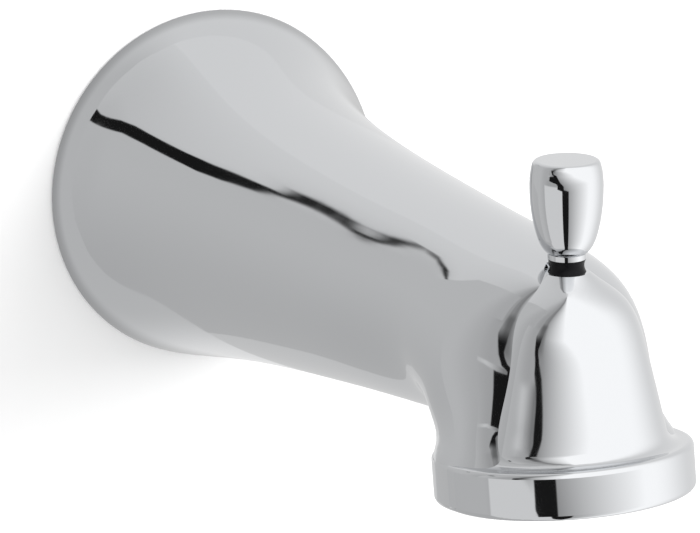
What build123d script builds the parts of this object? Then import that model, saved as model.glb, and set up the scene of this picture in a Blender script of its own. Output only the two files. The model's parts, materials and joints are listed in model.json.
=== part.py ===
"""Bath spout with a lift diverter: a plated casting, a moulded waterway and the diverter that slides in it.

Millimetres. The wall is the plane y = 0, the spout points along -Y, and +Z is up. The origin is the middle
of the flange's back face.
"""

import os
from math import cos, radians, sin

from build123d import *

os.makedirs("parts", exist_ok=True)

# Casting as a whole
spout_reach = 124.0
flange_radius = 31.5
wall = 2.6

# Horn: length of the elbow it ends in, height of its top and bottom lines and its half width there, how fast
# each tapers, how far each flare reaches from the wall, and the power it falls off with
elbow_length = 23.8
horn_top = 14.5
horn_bottom = 16.35
horn_side = 16.1
top_taper = 0.037
bottom_taper = 0.110
side_taper = 0.058
top_flare_reach = 20.7
bottom_flare_reach = 27.8
side_flare_reach = 15.5
flare_power = 1.6
horn_stations = (3, 6, 10, 15, 22, 32, 46, 62, 80)

# Elbow: it turns about a line under the horn. Each stage gives its share of the turn, the half width, and the
# distance of the outer, inner and widest lines from that line
elbow_inner_radius = 2.0
elbow_stages = (
    (0.25, 17.0, 35.2, 2.2, 18.3),
    (0.50, 17.3, 39.0, 2.6, 18.1),
    (0.75, 17.1, 36.7, 2.6, 17.4),
    (0.92, 18.1, 34.1, 3.5, 18.7),
)

# Outlet: one band round the bell's rim and the elbow's foot, in a plane that faces a little forward
outlet_tilt = 7.0
outlet_drop = 22.8
band_radius = 19.5
band_height = 7.2
band_top_edge = 0.8
band_rim_edge = 0.8
foot_setback = 2.0
foot_front = 14.5
foot_step = 0.25
foot_bury = 3.5
round_power = 2.0
foot_power = 3.0

# Bell, turned about the knob's axis
bell_top = 12.1
neck_radius = 3.4
shoulder_radius = 9.0
shoulder_height = 7.4
waist_radius = 11.9
waist_height = 0.2
skirt_radius = 14.4
skirt_height = -10.4
skirt_foot_radius = 16.6
bell_flare = 2.2
chamber_roof = 6.2
chamber_roof_radius = 5.4
stem_boss_radius = 3.6
stem_boss_top = 10.4

# Lift knob, rod, bushing and ring
knob_base = 14.2
knob_rest_gap = 0.1
knob_neck_radius = 2.95
knob_neck_height = 0.8
knob_groove = 0.3
knob_foot_radius = 3.25
knob_flank_radius = 4.7
knob_flank_height = 18.3
knob_radius = 5.55
knob_widest = 25.0
knob_crown_radius = 5.2
knob_crown_height = 28.5
knob_top = 29.3
knob_top_radius = 4.4
rod_radius = 1.5
rod_fit = 0.06
rod_in_knob = 6.0
rod_hole_clearance = 0.4
bushing_radius = 2.9
bushing_shank = 2.6
bushing_waist = 0.3
seat_fit = 0.04
stem_ring_section = 1.0
stem_lip = 1.2

# Diverter gate
lift_travel = 11.0
gate_width = 12.4
gate_height = 12.4
gate_corner = 3.0
gate_thickness = 2.4
gate_setback = 2.6
gate_boss_radius = 2.9
gate_guide_gap = 0.3
seal_thickness = 1.1
seal_margin = 0.5
seat_gap = 0.1
pin_radius = 1.1
clip_radius = 2.5
clip_mouth = 1.6
clip_thickness = 0.8
pin_below_clip = 1.0

# Waterway: a socket for the pipe, a tube, and a port in an upright seat behind the gate
pipe_radius = 7.94
socket_clearance = 0.11
hub_radius = 14.5
hub_start = 8.0
hub_end = 30.0
hub_taper_end = 44.0
socket_end = 40.0
tube_bore = 6.0
tube_wall = 2.4
port_radius = 4.6
port_drop = 1.0
seat_thickness = 3.0
seat_half_width = 8.6
seat_top = 5.0
seat_bottom = -13.0
seat_corner = 4.0
rail_top = -3.0
rail_lip = 0.9
rail_lip_thickness = 1.1
inlet_ring_section = 2.5
inlet_ring_grip = 0.02
outer_ring_station = 22.0
inner_ring_station = 30.0
ring_groove_width = 2.8

# Clamp collar and its set screw
collar_length = 9.6
collar_radius = 12.5
collar_fit = 0.1
collar_bore_clearance = 0.3
collar_boss_width = 8.0
collar_boss_drop = 17.5
screw_radius = 2.5
screw_top = -8.4
screw_length = 8.6
screw_socket = 1.4
screw_socket_depth = 3.0
key_hole_radius = 3.4

# Screws that hold the waterway
ear_radius = 2.5
ear_gap = 0.2
ear_start = 25.0
ear_thickness = 3.0
post_radius = 2.4
post_length = 12.0
ear_screw_radius = 1.4
ear_screw_length = 12.0
ear_screw_hole = 10.5
ear_head_radius = 2.3
ear_head_height = 1.8

# Places that several pieces share
elbow_start = spout_reach - elbow_length
skirt_foot_height = -outlet_drop + band_height / 2
socket_radius = pipe_radius + socket_clearance
tube_radius = tube_bore + tube_wall
elbow_pivot_height = -(horn_bottom + elbow_inner_radius)
outlet_angle = 90 - outlet_tilt
gate_back = spout_reach - gate_setback
gate_front = gate_back + gate_thickness
gate_rest = -port_drop - lift_travel
gate_top = gate_rest + gate_height / 2
gate_bottom = gate_rest - gate_height / 2
seat_station = gate_back - seal_thickness - seat_gap
seat_back = seat_station - seat_thickness
bushing_seat = chamber_roof + stem_lip + stem_ring_section
bushing_top = knob_base - knob_rest_gap
rail_inside = gate_width / 2 + gate_guide_gap
lip_back = gate_front + gate_guide_gap
collar_seat = hub_start + collar_length + collar_fit
screw_station = hub_start + collar_length / 2
ear_offset = hub_radius + post_radius + ear_gap
post_start = ear_start + ear_thickness
inlet_ring_radius = pipe_radius + inlet_ring_grip + inlet_ring_section / 2
groove_radius = inlet_ring_radius + inlet_ring_section / 2 + seat_fit
knob_axis = Axis((0, -spout_reach, 0), (0, 0, 1))
knob_plane = Plane(origin=(0, -spout_reach, 0), x_dir=(1, 0, 0), z_dir=(0, -1, 0))
side_plane = Plane(origin=(0, 0, 0), x_dir=(0, -1, 0), z_dir=(-1, 0, 0))


def upright_plane(station, height=0.0, turn=0.0):
    """Section plane with +X across the spout, turned about X from upright (0) to level (90)."""
    angle = radians(turn)
    return Plane(origin=(0, -station, height), x_dir=(1, 0, 0), z_dir=(0, -cos(angle), -sin(angle)))


def level_plane(height, station=spout_reach):
    """Level plane with its origin on the spout's middle line."""
    return Plane(origin=(0, -station, height))


outlet_plane = upright_plane(spout_reach, -outlet_drop, outlet_angle)


def flared_line(station, end, taper, reach):
    """Distance of one line of the horn from the spout's axis at a station from the wall."""
    flare = flange_radius - end - taper * elbow_start
    return end + taper * (elbow_start - station) + flare / (1 + (max(station, 0) / reach) ** flare_power)


def skin_sections(inset):
    """Plane, half width, outer and inner height and power of each section, from the wall to the band."""
    sections = []
    for station in (-inset, *horn_stations, elbow_start):
        top = flared_line(station, horn_top, top_taper, top_flare_reach) - inset
        bottom = flared_line(station, horn_bottom, bottom_taper, bottom_flare_reach) - inset
        side = flared_line(station, horn_side, side_taper, side_flare_reach) - inset
        sections.append((upright_plane(station), side, top, bottom, round_power))
    for share, side, far, near, middle in elbow_stages:
        turn = outlet_angle * share
        station = elbow_start + middle * sin(radians(turn))
        height = elbow_pivot_height + middle * cos(radians(turn))
        plane = upright_plane(station, height, turn)
        sections.append((plane, side - inset, far - middle - inset, middle - near - inset, round_power))
    foot = outlet_plane.from_local_coords((0, -foot_setback, foot_bury - band_height))
    foot_plane = upright_plane(-foot.Y, foot.Z, outlet_angle)
    foot_radius = band_radius - foot_step - inset
    sections.append((foot_plane, foot_radius, foot_front - inset, foot_radius, foot_power))
    return sections


def oval_points(half_width, outer_height, inner_height, power):
    """Twelve points round an oval: an ellipse on its inner side, squarer on its outer side."""
    points = []
    for step in range(12):
        across = cos(radians(30 * step))
        along = sin(radians(30 * step))
        if step in range(1, 6):
            across = abs(across) ** (2 / power) * (1 if across > 0 else -1)
            points.append((half_width * across, outer_height * along ** (2 / power)))
        else:
            points.append((half_width * across, inner_height * along))
    return points


def skin_form(inset):
    """Horn, elbow and foot as one solid, set in from the outer skin and as much longer at the wall."""
    with BuildPart() as form:
        for plane, *sizes in skin_sections(inset):
            with BuildSketch(plane):
                with BuildLine():
                    Spline(*oval_points(*sizes), periodic=True)
                make_face()
        loft()
    return form.part


# Bell and band, before they join the horn
with BuildPart() as bell_form:
    with BuildSketch(knob_plane):
        with BuildLine():
            neck = Line((0, bell_top), (neck_radius, bell_top))
            flank = Spline(
                neck @ 1,
                (shoulder_radius, shoulder_height),
                (waist_radius, waist_height),
                (skirt_radius, skirt_height),
                (skirt_foot_radius, skirt_foot_height),
                tangents=((0.75, -0.65), (0.25, -1)),
            )
            Polyline(flank @ 1, (0, skirt_foot_height), (0, bell_top))
        make_face()
    revolve(axis=knob_axis)
    with BuildSketch(outlet_plane):
        with Locations((0, -foot_setback / 2)):
            SlotCenterToCenter(foot_setback, 2 * band_radius, rotation=90)
    extrude(amount=-band_height)
    fillet(bell_form.faces().filter_by(GeomType.PLANE).sort_by(Axis.Z)[-2].inner_wires()[0].edges(), bell_flare)
    fillet(bell_form.faces().filter_by(GeomType.PLANE).sort_by(Axis.Z)[-2].outer_wire().edges(), band_top_edge)
    fillet(bell_form.faces().filter_by(GeomType.PLANE).sort_by(Axis.Z)[0].edges(), band_rim_edge)

# Casting: horn, elbow and bell in one, hollow from the wall to the outlet
with BuildPart() as spout_body:
    add(skin_form(0))
    add(bell_form.part)
    add(skin_form(wall), mode=Mode.SUBTRACT)
    with BuildSketch(outlet_plane):
        with Locations((0, -foot_setback / 2)):
            SlotCenterToCenter(foot_setback, 2 * (band_radius - wall), rotation=90)
    extrude(amount=wall - band_height, mode=Mode.SUBTRACT)
    with BuildSketch(knob_plane):
        with BuildLine():
            Polyline(
                (0, chamber_roof),
                (chamber_roof_radius, chamber_roof),
                (waist_radius - wall, waist_height),
                (skirt_radius - wall, skirt_height),
                (skirt_foot_radius - wall, skirt_foot_height),
                (0, skirt_foot_height),
                close=True,
            )
        make_face()
    revolve(axis=knob_axis, mode=Mode.SUBTRACT)
    # Boss under the roof, flat round the bushing, its seat and that of its ring, and the hole for the rod
    with BuildSketch(level_plane(chamber_roof)):
        Circle(stem_boss_radius)
    extrude(amount=stem_boss_top - chamber_roof)
    with BuildSketch(level_plane(bell_top)):
        Circle(neck_radius)
    extrude(amount=bushing_top - bell_top, mode=Mode.SUBTRACT)
    with BuildSketch(level_plane(bell_top)):
        Circle(bushing_shank + seat_fit)
    extrude(amount=chamber_roof + stem_lip - bell_top, mode=Mode.SUBTRACT)
    with BuildSketch(level_plane(bell_top)):
        Circle(rod_radius + rod_hole_clearance)
    extrude(amount=-bell_top, mode=Mode.SUBTRACT)
    # Posts for the waterway's screws, cast on the horn's side walls
    post_reach = flared_line(post_start + post_length, horn_side, side_taper, side_flare_reach) - wall / 5
    with BuildSketch(upright_plane(post_start)):
        for side in (-1, 1):
            with Locations((side * ear_offset, 0)):
                Circle(post_radius)
            with Locations((side * (ear_offset + post_reach) / 2, 0)):
                Rectangle(post_reach - ear_offset, 2 * post_radius)
    extrude(amount=post_length)
    with BuildSketch(upright_plane(post_start)):
        with Locations((-ear_offset, 0), (ear_offset, 0)):
            Circle(ear_screw_radius + seat_fit)
    extrude(amount=ear_screw_hole, mode=Mode.SUBTRACT)
    # Hole for the key of the set screw
    with BuildSketch(level_plane(-collar_boss_drop, screw_station)):
        Circle(key_hole_radius)
    extrude(amount=-flange_radius, mode=Mode.SUBTRACT)

# Waterway
with BuildPart() as waterway:
    with BuildSketch(side_plane):
        Polygon(
            (hub_start, 0),
            (hub_start, hub_radius),
            (hub_end, hub_radius),
            (hub_taper_end, tube_radius),
            (seat_station, tube_radius),
            (seat_station, 0),
            align=None,
        )
    revolve(axis=Axis.Y)
    with BuildSketch(upright_plane(post_start)):
        SlotCenterToCenter(2 * ear_offset, 2 * ear_radius)
    extrude(amount=-ear_thickness)
    with BuildSketch(upright_plane(seat_back)) as seat_outline:
        with Locations((0, (seat_top + seat_bottom) / 2)):
            Rectangle(2 * seat_half_width, seat_top - seat_bottom)
        fillet(seat_outline.vertices().group_by(Axis.Z)[-1], seat_corner)
    extrude(amount=seat_thickness)
    # Rails that hold the gate's edges
    with BuildSketch(upright_plane(seat_station)):
        for side in (-1, 1):
            with Locations((side * (rail_inside + seat_half_width) / 2, (rail_top + seat_bottom) / 2)):
                Rectangle(seat_half_width - rail_inside, rail_top - seat_bottom)
    extrude(amount=lip_back + rail_lip_thickness - seat_station)
    with BuildSketch(upright_plane(lip_back)):
        for side in (-1, 1):
            with Locations((side * (rail_inside + seat_half_width - rail_lip) / 2, (rail_top + seat_bottom) / 2)):
                Rectangle(seat_half_width - rail_inside + rail_lip, rail_top - seat_bottom)
    extrude(amount=rail_lip_thickness)
    # Collar seat, socket, ring grooves, bore and port
    with BuildSketch(side_plane):
        with BuildLine():
            Polyline(
                (hub_start, 0),
                (hub_start, collar_radius + collar_fit),
                (collar_seat, collar_radius + collar_fit),
                (collar_seat, socket_radius),
                (socket_end, socket_radius),
                (socket_end, tube_bore),
                (seat_back, tube_bore),
                (seat_back, 0),
                close=True,
            )
        make_face()
        with Locations((outer_ring_station, groove_radius / 2), (inner_ring_station, groove_radius / 2)):
            Rectangle(ring_groove_width, groove_radius)
    revolve(axis=Axis.Y, mode=Mode.SUBTRACT)
    with BuildSketch(upright_plane(seat_back, -port_drop)):
        Circle(port_radius)
    extrude(amount=seat_thickness, mode=Mode.SUBTRACT)
    with BuildSketch(upright_plane(hub_start)):
        with Locations((0, -hub_radius)):
            Rectangle(collar_boss_width + 2 * collar_fit, hub_radius)
    extrude(amount=collar_seat - hub_start, mode=Mode.SUBTRACT)
    with BuildSketch(upright_plane(ear_start)):
        with Locations((-ear_offset, 0), (ear_offset, 0)):
            Circle(ear_screw_radius + seat_fit)
    extrude(amount=ear_thickness, mode=Mode.SUBTRACT)

# Rings that seal on the pipe
with BuildPart() as inlet_o_ring_outer:
    with BuildSketch(side_plane):
        with Locations((outer_ring_station, inlet_ring_radius)):
            Circle(inlet_ring_section / 2)
    revolve(axis=Axis.Y)

with BuildPart() as inlet_o_ring_inner:
    with BuildSketch(side_plane):
        with Locations((inner_ring_station, inlet_ring_radius)):
            Circle(inlet_ring_section / 2)
    revolve(axis=Axis.Y)

# Clamp collar round the pipe, with a boss for the set screw
with BuildPart() as clamp_collar:
    with BuildSketch(upright_plane(hub_start)):
        Circle(collar_radius)
        with Locations((0, -collar_boss_drop / 2)):
            Rectangle(collar_boss_width, collar_boss_drop)
    extrude(amount=collar_length)
    with BuildSketch(upright_plane(hub_start)):
        Circle(pipe_radius + collar_bore_clearance)
    extrude(amount=collar_length, mode=Mode.SUBTRACT)
    with BuildSketch(level_plane(0, screw_station)):
        Circle(screw_radius + seat_fit)
    extrude(amount=-collar_boss_drop, mode=Mode.SUBTRACT)

# Set screw, with a hexagon socket in its lower end
with BuildPart() as set_screw:
    with BuildSketch(level_plane(screw_top, screw_station)):
        Circle(screw_radius)
    extrude(amount=-screw_length)
    with BuildSketch(level_plane(screw_top - screw_length, screw_station)):
        RegularPolygon(screw_socket, 6)
    extrude(amount=screw_socket_depth, mode=Mode.SUBTRACT)

# Screws through the waterway's ears
with BuildPart() as waterway_screws:
    with BuildSketch(upright_plane(ear_start)):
        with Locations((-ear_offset, 0), (ear_offset, 0)):
            Circle(ear_head_radius)
    extrude(amount=-ear_head_height)
    with BuildSketch(upright_plane(ear_start)):
        with Locations((-ear_offset, 0), (ear_offset, 0)):
            Circle(ear_screw_radius)
    extrude(amount=ear_screw_length)

# Bushing on top of the bell, and the ring under it
with BuildPart() as stem_bushing:
    with BuildSketch(knob_plane):
        with BuildLine():
            waist_middle = (bell_top + bushing_top) / 2
            waist_radius_inside = bushing_radius - bushing_waist
            Polyline(
                (bushing_radius, bushing_top),
                (rod_radius + rod_fit, bushing_top),
                (rod_radius + rod_fit, bushing_seat),
                (bushing_shank, bushing_seat),
                (bushing_shank, bell_top),
                (bushing_radius, bell_top),
            )
            ThreePointArc(
                (bushing_radius, bell_top), (waist_radius_inside, waist_middle), (bushing_radius, bushing_top)
            )
        make_face()
    revolve(axis=knob_axis)

with BuildPart() as stem_o_ring:
    with BuildSketch(knob_plane):
        with Locations((rod_radius + rod_fit + stem_ring_section / 2, bushing_seat - stem_ring_section / 2)):
            Circle(stem_ring_section / 2)
    revolve(axis=knob_axis)

# Lift knob
with BuildPart() as diverter_knob:
    with BuildSketch(knob_plane):
        with BuildLine():
            neck_top = knob_base + knob_neck_height
            flare_start = neck_top + knob_groove
            hole_end = (rod_radius + seat_fit, knob_base + rod_in_knob)
            Polyline(
                hole_end,
                (rod_radius + seat_fit, knob_base),
                (knob_neck_radius, knob_base),
                (knob_neck_radius, neck_top),
                (knob_neck_radius - knob_groove, flare_start),
                (knob_foot_radius, flare_start),
            )
            side_line = Spline(
                (knob_foot_radius, flare_start),
                (knob_flank_radius, knob_flank_height),
                (knob_radius, knob_widest),
                (knob_crown_radius, knob_crown_height),
                (knob_top_radius, knob_top),
                tangents=((1, 1), (-1, 0)),
            )
            Polyline(side_line @ 1, (0, knob_top), (0, knob_base + rod_in_knob), hole_end)
        make_face()
    revolve(axis=knob_axis)

# Rod, with a pin at its lower end
with BuildPart() as lift_rod:
    with BuildSketch(level_plane(gate_top)):
        Circle(rod_radius)
    extrude(amount=knob_base + rod_in_knob - gate_top)
    with BuildSketch(level_plane(gate_top)):
        Circle(pin_radius)
    extrude(amount=gate_bottom - clip_thickness - pin_below_clip - gate_top)

# Gate that the rod lifts in front of the port
with BuildPart() as diverter_gate:
    with BuildSketch(upright_plane(gate_back, gate_rest)):
        RectangleRounded(gate_width, gate_height, gate_corner)
    extrude(amount=gate_thickness)
    with BuildSketch(level_plane(gate_bottom)):
        Circle(gate_boss_radius)
        with Locations((0, gate_setback + gate_boss_radius)):
            Rectangle(2 * gate_boss_radius, 2 * gate_boss_radius, mode=Mode.SUBTRACT)
    extrude(amount=gate_height)
    with BuildSketch(level_plane(gate_bottom)):
        Circle(pin_radius + seat_fit)
    extrude(amount=gate_height, mode=Mode.SUBTRACT)

# Seal on the gate's back face
with BuildPart() as gate_seal:
    with BuildSketch(upright_plane(gate_back, gate_rest)):
        RectangleRounded(gate_width - 2 * seal_margin, gate_height - 2 * seal_margin, gate_corner - seal_margin)
    extrude(amount=-seal_thickness)

# Clip under the gate, open on its front
with BuildPart() as gate_clip:
    with BuildSketch(level_plane(gate_bottom)):
        Circle(clip_radius)
        Circle(pin_radius + seat_fit, mode=Mode.SUBTRACT)
        with Locations((0, -clip_radius)):
            Rectangle(clip_mouth, 2 * clip_radius, mode=Mode.SUBTRACT)
    extrude(amount=-clip_thickness)

spout_body.part.label = "spout_body"
waterway.part.label = "waterway"
inlet_o_ring_outer.part.label = "inlet_o_ring_outer"
inlet_o_ring_inner.part.label = "inlet_o_ring_inner"
clamp_collar.part.label = "clamp_collar"
set_screw.part.label = "set_screw"
waterway_screws.part.label = "waterway_screws"
stem_bushing.part.label = "stem_bushing"
stem_o_ring.part.label = "stem_o_ring"
diverter_knob.part.label = "diverter_knob"
lift_rod.part.label = "lift_rod"
diverter_gate.part.label = "diverter_gate"
gate_seal.part.label = "gate_seal"
gate_clip.part.label = "gate_clip"

export_step(spout_body.part, "parts/spout_body.step")
export_step(waterway.part, "parts/waterway.step")
export_step(inlet_o_ring_outer.part, "parts/inlet_o_ring_outer.step")
export_step(inlet_o_ring_inner.part, "parts/inlet_o_ring_inner.step")
export_step(clamp_collar.part, "parts/clamp_collar.step")
export_step(set_screw.part, "parts/set_screw.step")
export_step(waterway_screws.part, "parts/waterway_screws.step")
export_step(stem_bushing.part, "parts/stem_bushing.step")
export_step(stem_o_ring.part, "parts/stem_o_ring.step")
export_step(diverter_knob.part, "parts/diverter_knob.step")
export_step(lift_rod.part, "parts/lift_rod.step")
export_step(diverter_gate.part, "parts/diverter_gate.step")
export_step(gate_seal.part, "parts/gate_seal.step")
export_step(gate_clip.part, "parts/gate_clip.step")
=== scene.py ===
"""Looks of a bath spout: plated casting, moulded waterway, diverter, studio stage and camera.

Metres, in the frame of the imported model: the wall is y = 0, the spout points along -Y and +Z is up.
"""

import json
from math import cos, radians, sin

import bpy
import numpy as np
from mathutils import Matrix, Vector
from mathutils.bvhtree import BVHTree

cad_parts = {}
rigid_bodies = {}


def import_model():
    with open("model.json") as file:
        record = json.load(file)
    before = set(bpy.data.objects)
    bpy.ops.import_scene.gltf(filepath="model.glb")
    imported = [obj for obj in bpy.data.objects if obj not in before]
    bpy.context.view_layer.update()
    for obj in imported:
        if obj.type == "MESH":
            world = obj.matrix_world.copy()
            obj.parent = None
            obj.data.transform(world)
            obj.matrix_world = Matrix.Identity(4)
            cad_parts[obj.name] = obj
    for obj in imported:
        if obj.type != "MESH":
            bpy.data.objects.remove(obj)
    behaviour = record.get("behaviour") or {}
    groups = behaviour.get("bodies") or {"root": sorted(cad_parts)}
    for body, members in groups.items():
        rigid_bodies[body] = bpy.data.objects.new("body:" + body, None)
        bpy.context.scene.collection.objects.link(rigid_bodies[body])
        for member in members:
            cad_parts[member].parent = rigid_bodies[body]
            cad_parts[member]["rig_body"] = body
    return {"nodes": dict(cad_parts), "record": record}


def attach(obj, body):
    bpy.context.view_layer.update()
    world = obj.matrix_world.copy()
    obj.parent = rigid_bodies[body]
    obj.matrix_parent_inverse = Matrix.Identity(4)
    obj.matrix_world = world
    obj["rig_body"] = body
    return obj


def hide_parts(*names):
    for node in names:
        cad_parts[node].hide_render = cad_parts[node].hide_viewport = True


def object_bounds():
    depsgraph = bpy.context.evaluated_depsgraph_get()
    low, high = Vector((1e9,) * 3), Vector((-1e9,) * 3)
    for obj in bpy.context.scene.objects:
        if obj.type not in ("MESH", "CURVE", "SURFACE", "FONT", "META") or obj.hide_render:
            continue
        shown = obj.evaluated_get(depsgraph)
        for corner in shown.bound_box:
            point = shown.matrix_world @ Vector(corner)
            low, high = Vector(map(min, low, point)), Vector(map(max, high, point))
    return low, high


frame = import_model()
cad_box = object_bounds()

# Camera, at the photograph's angle
image_width = 700
focal_pixels = 3688
sensor_width = 36.0
camera_azimuth = -27.15
camera_elevation = 15.03
camera_roll = -1.24
camera_distance = 0.66224
camera_right = 0.02442
camera_up = -0.01498
clip_start = 0.01

# Studio. Directions are in degrees: azimuth 0 is straight in front of the wall and -90 is the left side.
# A rise, fall or turn says where a change starts and ends, and may then say the light or share at both.
gap_light = 0.012

# Left panel: its light by elevation, and the share of it that stays by azimuth
left_rise = (-45, 15, 0.56, 0.66)
left_turn = (-114, -86, 1.0, 0.77)

# Panel behind the left one
behind_turn = (-160, -178)
behind_rise = (-5, 12)
behind_light = 0.85

# Top panel: how it comes in over the wedge's upper edge, and its light by azimuth
top_rise = (-4, 3)
top_light = ((-180, 0.86), (-118, 0.72), (-86, 0.46))

# Light panel low on the left
low_turn = (-107, -105)
low_fall = (-6.5, -8.5)
low_light = 0.84

# Thin panel over the low one: elevation of its edges, and its light, by azimuth
strip_low = ((-106, 2.9), (-100, 3.9), (-90, 4.9), (-70, 6.65))
strip_top = ((-106, 4.8), (-100, 5.3), (-80, 7.6), (-70, 8.4))
strip_soft = 0.3
strip_turn = (-107, -86)
strip_light = ((-93, 0.84), (-86, 0.62), (-76, 0.28))

# Wedge of a gap under the top panel: elevation of its edges, by azimuth, and the azimuth of its ends
wedge_low = (
    (-168, 35), (-160, 32.2), (-157, 30.8), (-152.5, 29), (-149.5, 27),
    (-145, 25), (-141, 24.5), (-124, 28.7), (-116, 30.2), (-109, 29.2),
)
wedge_top = (
    (-168, 35), (-159.5, 33.3), (-155, 30.9), (-147, 30.6),
    (-141, 31.4), (-121, 36.1), (-115, 36.1), (-109, 34),
)
wedge_soft = 0.4
wedge_ends = (-166, -109.5)
wedge_end_soft = 0.5

# Side gap: azimuth of its edges, by elevation, and the share of it that stays high up
side_left = (
    (-11.6, -44), (-9.8, -59), (-6, -58), (-3.5, -62), (-1, -86), (5.3, -85.3),
    (6.5, -72.5), (7.4, -72), (7.9, -74), (8.3, -78), (12, -81), (24, -84), (40, -80),
)
side_right = (
    (-11.6, -24), (-9.8, -39), (-6, -39), (-1, -50), (7.4, -61), (8.4, -64.5),
    (10, -72.5), (12, -75), (14.5, -76), (20, -74), (40, -70),
)
side_soft = 0.8
side_middle_soft = 1.0
side_rise = (18, 30, 1.0, 0.25)

# Shade along the upper part of the side gap: its azimuths and elevations
shade_sides = (-80, -69.5)
shade_heights = (12, 42)
shade_soft = 4.0
shade_light = 0.24

# Front panel: azimuth where its light starts and where it is full, by elevation, with the least and most
front_start = ((-12, -30), (-5, -42), (8, -66), (25, -72))
front_full = ((-5, 42), (8, -5), (25, -35))
front_least = 0.40
front_most = 1.38

# Changes of the front panel's light far to the right, and low down there
far_turn = (50, 115, 0.0, -0.48)
under_turn = (110, 150)
under_fall = (-5, -25)
under_light = -0.22

# Stage
wall_gap = 0.0004
stage_size = 4.0
floor_drop = 0.22
sheet_color = 0.9
sheet_glow = 0.11
flange_radius = cad_box[1].x
near_wall_radius = 0.045
near_wall_corners = 72
# Glowing wall patch seen only in the plating: painted light, lighter to the right, and painted shadow at the
# flange
near_wall_painted_light = (-0.028, -0.004, 0.64, 0.86)
near_shade_radius = 0.037
near_shade = 0.68
card_place = -0.042
card_outline = (
    (-0.048, 0.012), (-0.092, 0.012), (-0.092, -0.020), (-0.118, -0.020),
    (-0.118, 0.027), (-0.127, 0.027), (-0.127, 0.080), (-0.048, 0.080),
)
card_turn = (-0.122, -0.1, 0.56, 0.66)

# Lamp
lamp_place = (0.5, -0.85, 0.3)
lamp_size = 0.5
lamp_watts = 4.6

# Texture of a material: how fine its noise gets, and the stretch of noise that counts
noise_detail = 3.0
noise_range = (0.3, 0.7)

# Normals of the plated pieces: vertices in a fitted patch, how their weights fall, what steadies the fit,
# how often it is done, and how near X a normal may lie before the patch's own axes are taken from Y
ring_size = 36
weight_fall = 2
fit_stiffness = 0.0001
fit_rounds = 2
near_axis = 0.7
tiny = 1e-12

# Inside of the casting: how far off a face its looks start, how far they lean, how many have to be blocked
look_clear = 0.00005
look_lean = 0.6
looks_blocked = 4


def add_node(tree, kind, inputs=None, **settings):
    """New node with its settings, and with its inputs set or linked."""
    node = tree.nodes.new(kind)
    for name, value in settings.items():
        setattr(node, name, value)
    for name, value in (inputs or {}).items():
        if isinstance(value, bpy.types.NodeSocket):
            tree.links.new(value, node.inputs[name])
        else:
            node.inputs[name].default_value = value
    return node


def calc(tree, operation, *values):
    """Result of a math node."""
    return add_node(tree, "ShaderNodeMath", dict(enumerate(values)), operation=operation).outputs[0]


def times(tree, first, second):
    """Product of two numbers."""
    return calc(tree, "MULTIPLY", first, second)


def ramp(tree, value, start, end, low=0.0, high=1.0, kind="SMOOTHSTEP"):
    """Step from low to high as the value goes from start to end."""
    inputs = {"Value": value, "From Min": start, "From Max": end, "To Min": low, "To Max": high}
    return add_node(tree, "ShaderNodeMapRange", inputs, interpolation_type=kind).outputs["Result"]


def curve(tree, value, points):
    """Broken line through points, each a value and its result."""
    result = points[0][1]
    for (start, low), (end, high) in zip(points, points[1:]):
        result = calc(tree, "ADD", result, ramp(tree, value, start, end, 0.0, high - low, "LINEAR"))
    return result


def mix(tree, share, first, second):
    """Mix of two numbers."""
    return add_node(tree, "ShaderNodeMix", {0: share, 2: first, 3: second}, data_type="FLOAT").outputs[0]


def band(tree, value, start, end, soft):
    """One between start and end, with soft edges."""
    rise = ramp(tree, calc(tree, "SUBTRACT", value, start), -soft, soft)
    fall = ramp(tree, calc(tree, "SUBTRACT", end, value), -soft, soft)
    return times(tree, rise, fall)


def left_light(tree, azimuth, elevation, top_edge):
    """Light of the left half: a panel, others behind and over it, a light one low down and a thin one."""
    light = times(tree, ramp(tree, elevation, *left_rise), ramp(tree, azimuth, *left_turn))
    behind = times(tree, ramp(tree, azimuth, *behind_turn), ramp(tree, elevation, *behind_rise))
    light = mix(tree, behind, light, behind_light)
    over = ramp(tree, calc(tree, "SUBTRACT", elevation, top_edge), *top_rise)
    light = mix(tree, over, light, curve(tree, azimuth, top_light))
    low_panel = times(tree, ramp(tree, azimuth, *low_turn), ramp(tree, elevation, *low_fall))
    light = mix(tree, low_panel, light, low_light)
    strip_edges = [curve(tree, azimuth, points) for points in (strip_low, strip_top)]
    strip = band(tree, elevation, *strip_edges, strip_soft)
    strip = times(tree, strip, ramp(tree, azimuth, *strip_turn))
    return mix(tree, strip, light, curve(tree, azimuth, strip_light))


def front_light(tree, azimuth, elevation):
    """Light of the front panel, brightest to the right of the camera and darker low down behind."""
    start = curve(tree, elevation, front_start)
    full = curve(tree, elevation, front_full)
    light = ramp(tree, azimuth, start, full, front_least, front_most, "LINEAR")
    light = calc(tree, "ADD", light, ramp(tree, azimuth, *far_turn))
    under = times(tree, ramp(tree, azimuth, *under_turn), ramp(tree, elevation, *under_fall))
    return calc(tree, "ADD", light, times(tree, under, under_light))


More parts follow.
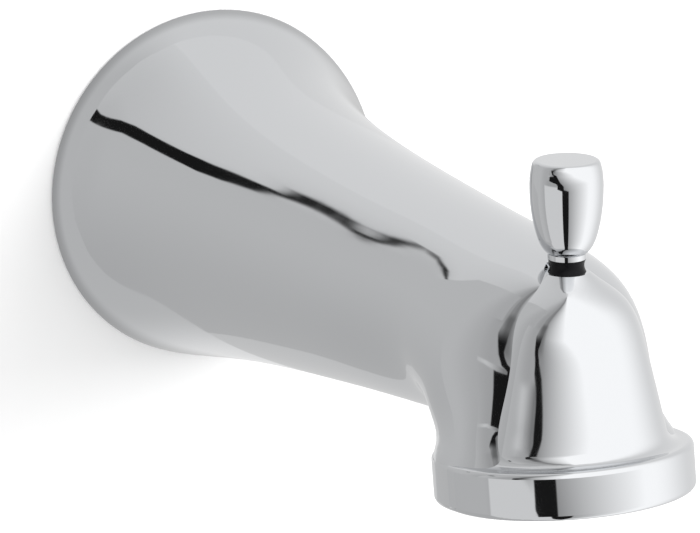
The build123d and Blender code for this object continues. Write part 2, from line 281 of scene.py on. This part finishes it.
def make_world():
    """Studio round the spout: pale panels behind, above and to the left, a white one in front, dark gaps."""
    world = bpy.data.worlds.new("studio")
    bpy.context.scene.world = world
    world.use_nodes = True
    tree = world.node_tree
    tree.nodes.clear()
    direction = add_node(tree, "ShaderNodeTexCoord").outputs["Generated"]
    axes = add_node(tree, "ShaderNodeSeparateXYZ", {0: direction}).outputs
    forward = times(tree, axes["Y"], -1.0)
    azimuth = calc(tree, "DEGREES", calc(tree, "ARCTAN2", axes["X"], forward))
    elevation = calc(tree, "DEGREES", calc(tree, "ARCSINE", axes["Z"]))

    # Panels on both sides of the side gap, with a shade along its upper part
    left_edge = curve(tree, elevation, side_left)
    right_edge = curve(tree, elevation, side_right)
    top_edge = curve(tree, azimuth, wedge_top)
    middle = times(tree, calc(tree, "ADD", left_edge, right_edge), 0.5)
    in_front = ramp(tree, calc(tree, "SUBTRACT", azimuth, middle), -side_middle_soft, side_middle_soft)
    left = left_light(tree, azimuth, elevation, top_edge)
    light = mix(tree, in_front, left, front_light(tree, azimuth, elevation))
    shade = band(tree, azimuth, *shade_sides, shade_soft)
    shade = times(tree, shade, band(tree, elevation, *shade_heights, shade_soft))
    light = mix(tree, shade, light, shade_light)

    # Gaps: the side one, which fades high up, and the wedge
    side_gap = band(tree, azimuth, left_edge, right_edge, side_soft)
    side_gap = times(tree, side_gap, ramp(tree, elevation, *side_rise))
    wedge = band(tree, elevation, curve(tree, azimuth, wedge_low), top_edge, wedge_soft)
    wedge = times(tree, wedge, band(tree, azimuth, *wedge_ends, wedge_end_soft))
    light = mix(tree, calc(tree, "MAXIMUM", side_gap, wedge), light, gap_light)

    # The camera sees plain white, also through anything clear
    path = add_node(tree, "ShaderNodeLightPath").outputs
    seen = calc(tree, "MAXIMUM", path["Is Camera Ray"], path["Is Transmission Ray"])
    strength = mix(tree, seen, light, 1.0)
    background = add_node(tree, "ShaderNodeBackground", {"Color": (1, 1, 1, 1), "Strength": strength})
    add_node(tree, "ShaderNodeOutputWorld", {"Surface": background.outputs[0]})


def make_camera():
    """Camera at the photograph's place, with a long lens."""
    azimuth, elevation, roll = map(radians, (camera_azimuth, camera_elevation, camera_roll))
    level = Vector((cos(azimuth), sin(azimuth), 0))
    back = Vector((sin(azimuth) * cos(elevation), -cos(azimuth) * cos(elevation), sin(elevation)))
    up = back.cross(level)
    right = cos(roll) * level + sin(roll) * up
    over = cos(roll) * up - sin(roll) * level
    place = camera_right * right + camera_up * over + camera_distance * back
    data = bpy.data.cameras.new("camera")
    data.sensor_width = sensor_width
    data.lens = focal_pixels / image_width * sensor_width
    data.clip_start = clip_start
    camera = bpy.data.objects.new("camera", data)
    turn = Matrix((right, over, back)).transposed().to_4x4()
    camera.matrix_world = Matrix.Translation(place) @ turn
    bpy.context.scene.collection.objects.link(camera)
    bpy.context.scene.camera = camera


def stage_material(name, build):
    """Material of a part of the stage, with its shader built by a function of the node tree."""
    material = bpy.data.materials.new(name)
    material.use_nodes = True
    tree = material.node_tree
    tree.nodes.clear()
    add_node(tree, "ShaderNodeOutputMaterial", {"Surface": build(tree).outputs[0]})
    return material


def matt_sheet(tree):
    """Pale matt sheet, lit a little from within, that shows only its front side."""
    color = (sheet_color, sheet_color, sheet_color, 1)
    matt = add_node(tree, "ShaderNodeBsdfDiffuse", {"Color": color})
    glow = add_node(tree, "ShaderNodeEmission", {"Strength": sheet_glow})
    sheet = add_node(tree, "ShaderNodeAddShader", {0: matt.outputs[0], 1: glow.outputs[0]})
    clear = add_node(tree, "ShaderNodeBsdfTransparent")
    back = add_node(tree, "ShaderNodeNewGeometry").outputs["Backfacing"]
    return add_node(tree, "ShaderNodeMixShader", {0: back, 1: sheet.outputs[0], 2: clear.outputs[0]})


def place_axes(tree):
    """X, Y and Z of the place that is shaded."""
    place = add_node(tree, "ShaderNodeNewGeometry").outputs["Position"]
    return add_node(tree, "ShaderNodeSeparateXYZ", {0: place}).outputs


def shaded_wall(tree):
    """Wall close to the flange, glowing with painted shadow darker against its edge and painted light
    lighter on the right.
    """
    axes = place_axes(tree)
    flat = add_node(tree, "ShaderNodeCombineXYZ", {"X": axes["X"], "Z": axes["Z"]}).outputs[0]
    radius = add_node(tree, "ShaderNodeVectorMath", {0: flat}, operation="LENGTH").outputs["Value"]
    # Painted shadow against the flange's edge and painted light to the right, given as glow
    shade = ramp(tree, radius, flange_radius, near_shade_radius, near_shade)
    light = times(tree, ramp(tree, axes["X"], *near_wall_painted_light), shade)
    return add_node(tree, "ShaderNodeEmission", {"Strength": light})


def pale_card(tree):
    """Card beside the elbow, a little darker towards the outlet."""
    light = ramp(tree, place_axes(tree)["Y"], *card_turn)
    return add_node(tree, "ShaderNodeEmission", {"Strength": light})


def make_sheet(name, corners, build, mirrored):
    """Flat sheet of the stage, seen by the camera alone or in the plating alone."""
    mesh = bpy.data.meshes.new(name)
    mesh.from_pydata(corners, [], [range(len(corners))])
    mesh.materials.append(stage_material(name, build))
    sheet = bpy.data.objects.new(name, mesh)
    bpy.context.scene.collection.objects.link(sheet)
    sheet.visible_camera = not mirrored
    sheet.visible_glossy = mirrored
    sheet.visible_diffuse = False
    sheet.visible_transmission = False
    sheet.visible_shadow = False


def make_stage():
    """Wall behind the spout, what the plating shows of it with painted light and shadow, a floor below and a
    card beside the elbow.
    """
    half = stage_size / 2
    low = cad_box[0].z - floor_drop
    wall = [(-half, wall_gap, low), (half, wall_gap, low), (half, wall_gap, half), (-half, wall_gap, half)]
    floor = [(-half, -half, low), (half, -half, low), (half, wall_gap, low), (-half, wall_gap, low)]
    turns = [radians(360 / near_wall_corners * step) for step in range(near_wall_corners)]
    patch = [(near_wall_radius * cos(turn), wall_gap, near_wall_radius * sin(turn)) for turn in turns]
    make_sheet("wall", wall, matt_sheet, False)
    make_sheet("floor", floor, matt_sheet, False)
    # Patch with painted light and a painted shadow at the flange, seen only in the plating
    make_sheet("near_wall", patch, shaded_wall, True)
    make_sheet("card", [(card_place, y, z) for y, z in card_outline], pale_card, True)


def make_lamp():
    """Soft lamp up to the right, for the shadow on the wall."""
    data = bpy.data.lights.new("key", "AREA")
    data.size = lamp_size
    data.energy = lamp_watts
    lamp = bpy.data.objects.new("key", data)
    place = Vector(lamp_place)
    lamp.matrix_world = Matrix.Translation(place) @ place.to_track_quat("Z", "Y").to_matrix().to_4x4()
    lamp.visible_glossy = False
    bpy.context.scene.collection.objects.link(lamp)


def noise(tree, scale, stretch):
    """Noise over the piece, at a number of lumps to the metre."""
    place = add_node(tree, "ShaderNodeTexCoord").outputs["Object"]
    spread = add_node(tree, "ShaderNodeMapping", {"Vector": place, "Scale": stretch}).outputs[0]
    inputs = {"Vector": spread, "Scale": scale, "Detail": noise_detail}
    return add_node(tree, "ShaderNodeTexNoise", inputs).outputs[0]


def make_material(name, color, metallic, scale, roughness, relief=0.0, stretch=(1, 1, 1), specular=0.5):
    """New material with noise in its gloss, between two roughnesses, and in its relief, if it has any."""
    material = bpy.data.materials.new(name)
    material.use_nodes = True
    tree = material.node_tree
    inputs = tree.nodes["Principled BSDF"].inputs
    inputs["Base Color"].default_value = (*color, 1)
    inputs["Metallic"].default_value = metallic
    inputs["Specular IOR Level"].default_value = specular
    lumps = noise(tree, scale, stretch)
    tree.links.new(ramp(tree, lumps, *noise_range, *roughness), inputs["Roughness"])
    if relief:
        bump = add_node(tree, "ShaderNodeBump", {"Height": lumps, "Distance": relief, "Strength": 1.0})
        tree.links.new(bump.outputs[0], inputs["Normal"])
    return material


def make_materials():
    """Materials by slot, and the one of the casting's inside."""
    made = {}

    # Bright plating
    made["chrome"] = make_material(
        "chrome", color=(0.66, 0.67, 0.685), metallic=1.0, scale=150, roughness=(0.03, 0.05)
    )

    # Bare cast metal behind it
    made["inside"] = make_material(
        "casting_inside", color=(0.42, 0.42, 0.43), metallic=1.0, scale=900, roughness=(0.30, 0.52),
        relief=0.00008,
    )

    # Black plastic, with little shine
    made["black_plastic"] = make_material(
        "black_plastic", color=(0.005, 0.005, 0.006), metallic=0.0, scale=2500, roughness=(0.30, 0.45),
        relief=0.00001, specular=0.12,
    )

    # Grey moulded plastic
    made["grey_plastic"] = make_material(
        "grey_plastic", color=(0.32, 0.33, 0.34), metallic=0.0, scale=1500, roughness=(0.34, 0.5),
        relief=0.00002,
    )

    # Black rubber
    made["rubber"] = make_material(
        "rubber", color=(0.02, 0.02, 0.02), metallic=0.0, scale=2000, roughness=(0.45, 0.65),
        relief=0.00001,
    )

    # Brass, turned about Y
    made["brass"] = make_material(
        "brass", color=(0.60, 0.42, 0.17), metallic=1.0, scale=1200, roughness=(0.2, 0.36),
        relief=0.00001, stretch=(1, 8, 1),
    )

    # Steel, turned about Z
    made["steel"] = make_material(
        "steel", color=(0.55, 0.55, 0.56), metallic=1.0, scale=1200, roughness=(0.18, 0.34),
        relief=0.00001, stretch=(1, 1, 8),
    )
    return made


def unit(vectors):
    """Rows scaled to length one."""
    return vectors / np.maximum(np.linalg.norm(vectors, axis=1, keepdims=True), tiny)


def rings(mesh, size):
    """The vertices round each vertex, nearest links first, as one row of indices each."""
    links = [[] for _ in mesh.vertices]
    for edge in mesh.edges:
        first, second = edge.vertices
        links[first].append(second)
        links[second].append(first)
    rows = []
    for start in range(len(links)):
        row = [start]
        seen = {start}
        for vertex in row:
            fresh = [near for near in links[vertex] if near not in seen]
            row.extend(fresh)
            seen.update(fresh)
            if len(row) > size:
                break
        rows.append((row[1:] + size * [start])[:size])
    return np.array(rows)


def fitted_normals(mesh, size):
    """Normal at each vertex of the smooth surface that passes through the vertices round it."""
    places = np.array([vertex.co for vertex in mesh.vertices])
    normals = np.array([normal.vector for normal in mesh.vertex_normals])
    offsets = places[rings(mesh, size)] - places[:, None]
    distances = np.linalg.norm(offsets, axis=2)
    reach = np.maximum(distances.max(axis=1), tiny)
    weights = np.exp(-weight_fall * (distances / reach[:, None]) ** 2) * (distances > 0)
    for _ in range(fit_rounds):
        helper = np.where(np.abs(normals[:, :1]) < near_axis, [[1.0, 0, 0]], [[0, 1.0, 0]])
        across = unit(np.cross(normals, helper))
        along = np.cross(normals, across)
        u, v, height = (
            np.einsum("vks,vs->vk", offsets, axis) / reach[:, None] for axis in (across, along, normals)
        )
        terms = np.stack([u, v, u * u, u * v, v * v, u**3, u * u * v, u * v * v, v**3], axis=2)
        weighted = terms * weights[:, :, None]
        squares = np.einsum("vki,vkj->vij", weighted, terms) + fit_stiffness * np.eye(terms.shape[2])
        slopes = np.linalg.solve(squares, np.einsum("vki,vk->vi", weighted, height)[:, :, None])
        normals = unit(normals - slopes[:, 0] * across - slopes[:, 1] * along)
    return normals


def polished_copy(name):
    """Copy of a CAD node with even normals, so that its plating mirrors cleanly. It stands for the node."""
    node = frame["nodes"][name]
    mesh = node.data.copy()
    mesh.name = name + "_plated"
    mesh.shade_smooth()
    mesh.normals_split_custom_set_from_vertices(fitted_normals(mesh, ring_size).tolist())
    copy = bpy.data.objects.new(name + "_plated", mesh)
    bpy.context.scene.collection.objects.link(copy)
    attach(copy, node["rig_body"])
    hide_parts(name)
    return copy


def mark_inside(body):
    """Second material on the faces of a hollow casting that look at its own walls."""
    mesh = body.data
    tree = BVHTree.FromPolygons([v.co for v in mesh.vertices], [p.vertices for p in mesh.polygons])
    for face in mesh.polygons:
        side = face.normal.orthogonal()
        other = face.normal.cross(side)
        hits = 0
        for lean in (0 * side, side, -side, other, -other):
            way = (face.normal + look_lean * lean).normalized()
            hits += tree.ray_cast(face.center + look_clear * face.normal, way)[0] is not None
        face.material_index = 1 if hits >= looks_blocked else 0


def dress_nodes(materials):
    """Material of each CAD node from its slot, and plated copies of the casting and the knob."""
    for subpart in frame["record"]["subparts"]:
        node = frame["nodes"][subpart["node"]]
        node.data.materials.clear()
        node.data.materials.append(materials[subpart["material_slot"]])
    polished_copy("diverter_knob")
    body = polished_copy("spout_body")
    body.data.materials.append(materials["inside"])
    mark_inside(body)


bpy.context.scene.view_settings.view_transform = "Standard"
make_camera()
make_world()
make_stage()
make_lamp()
dress_nodes(make_materials())
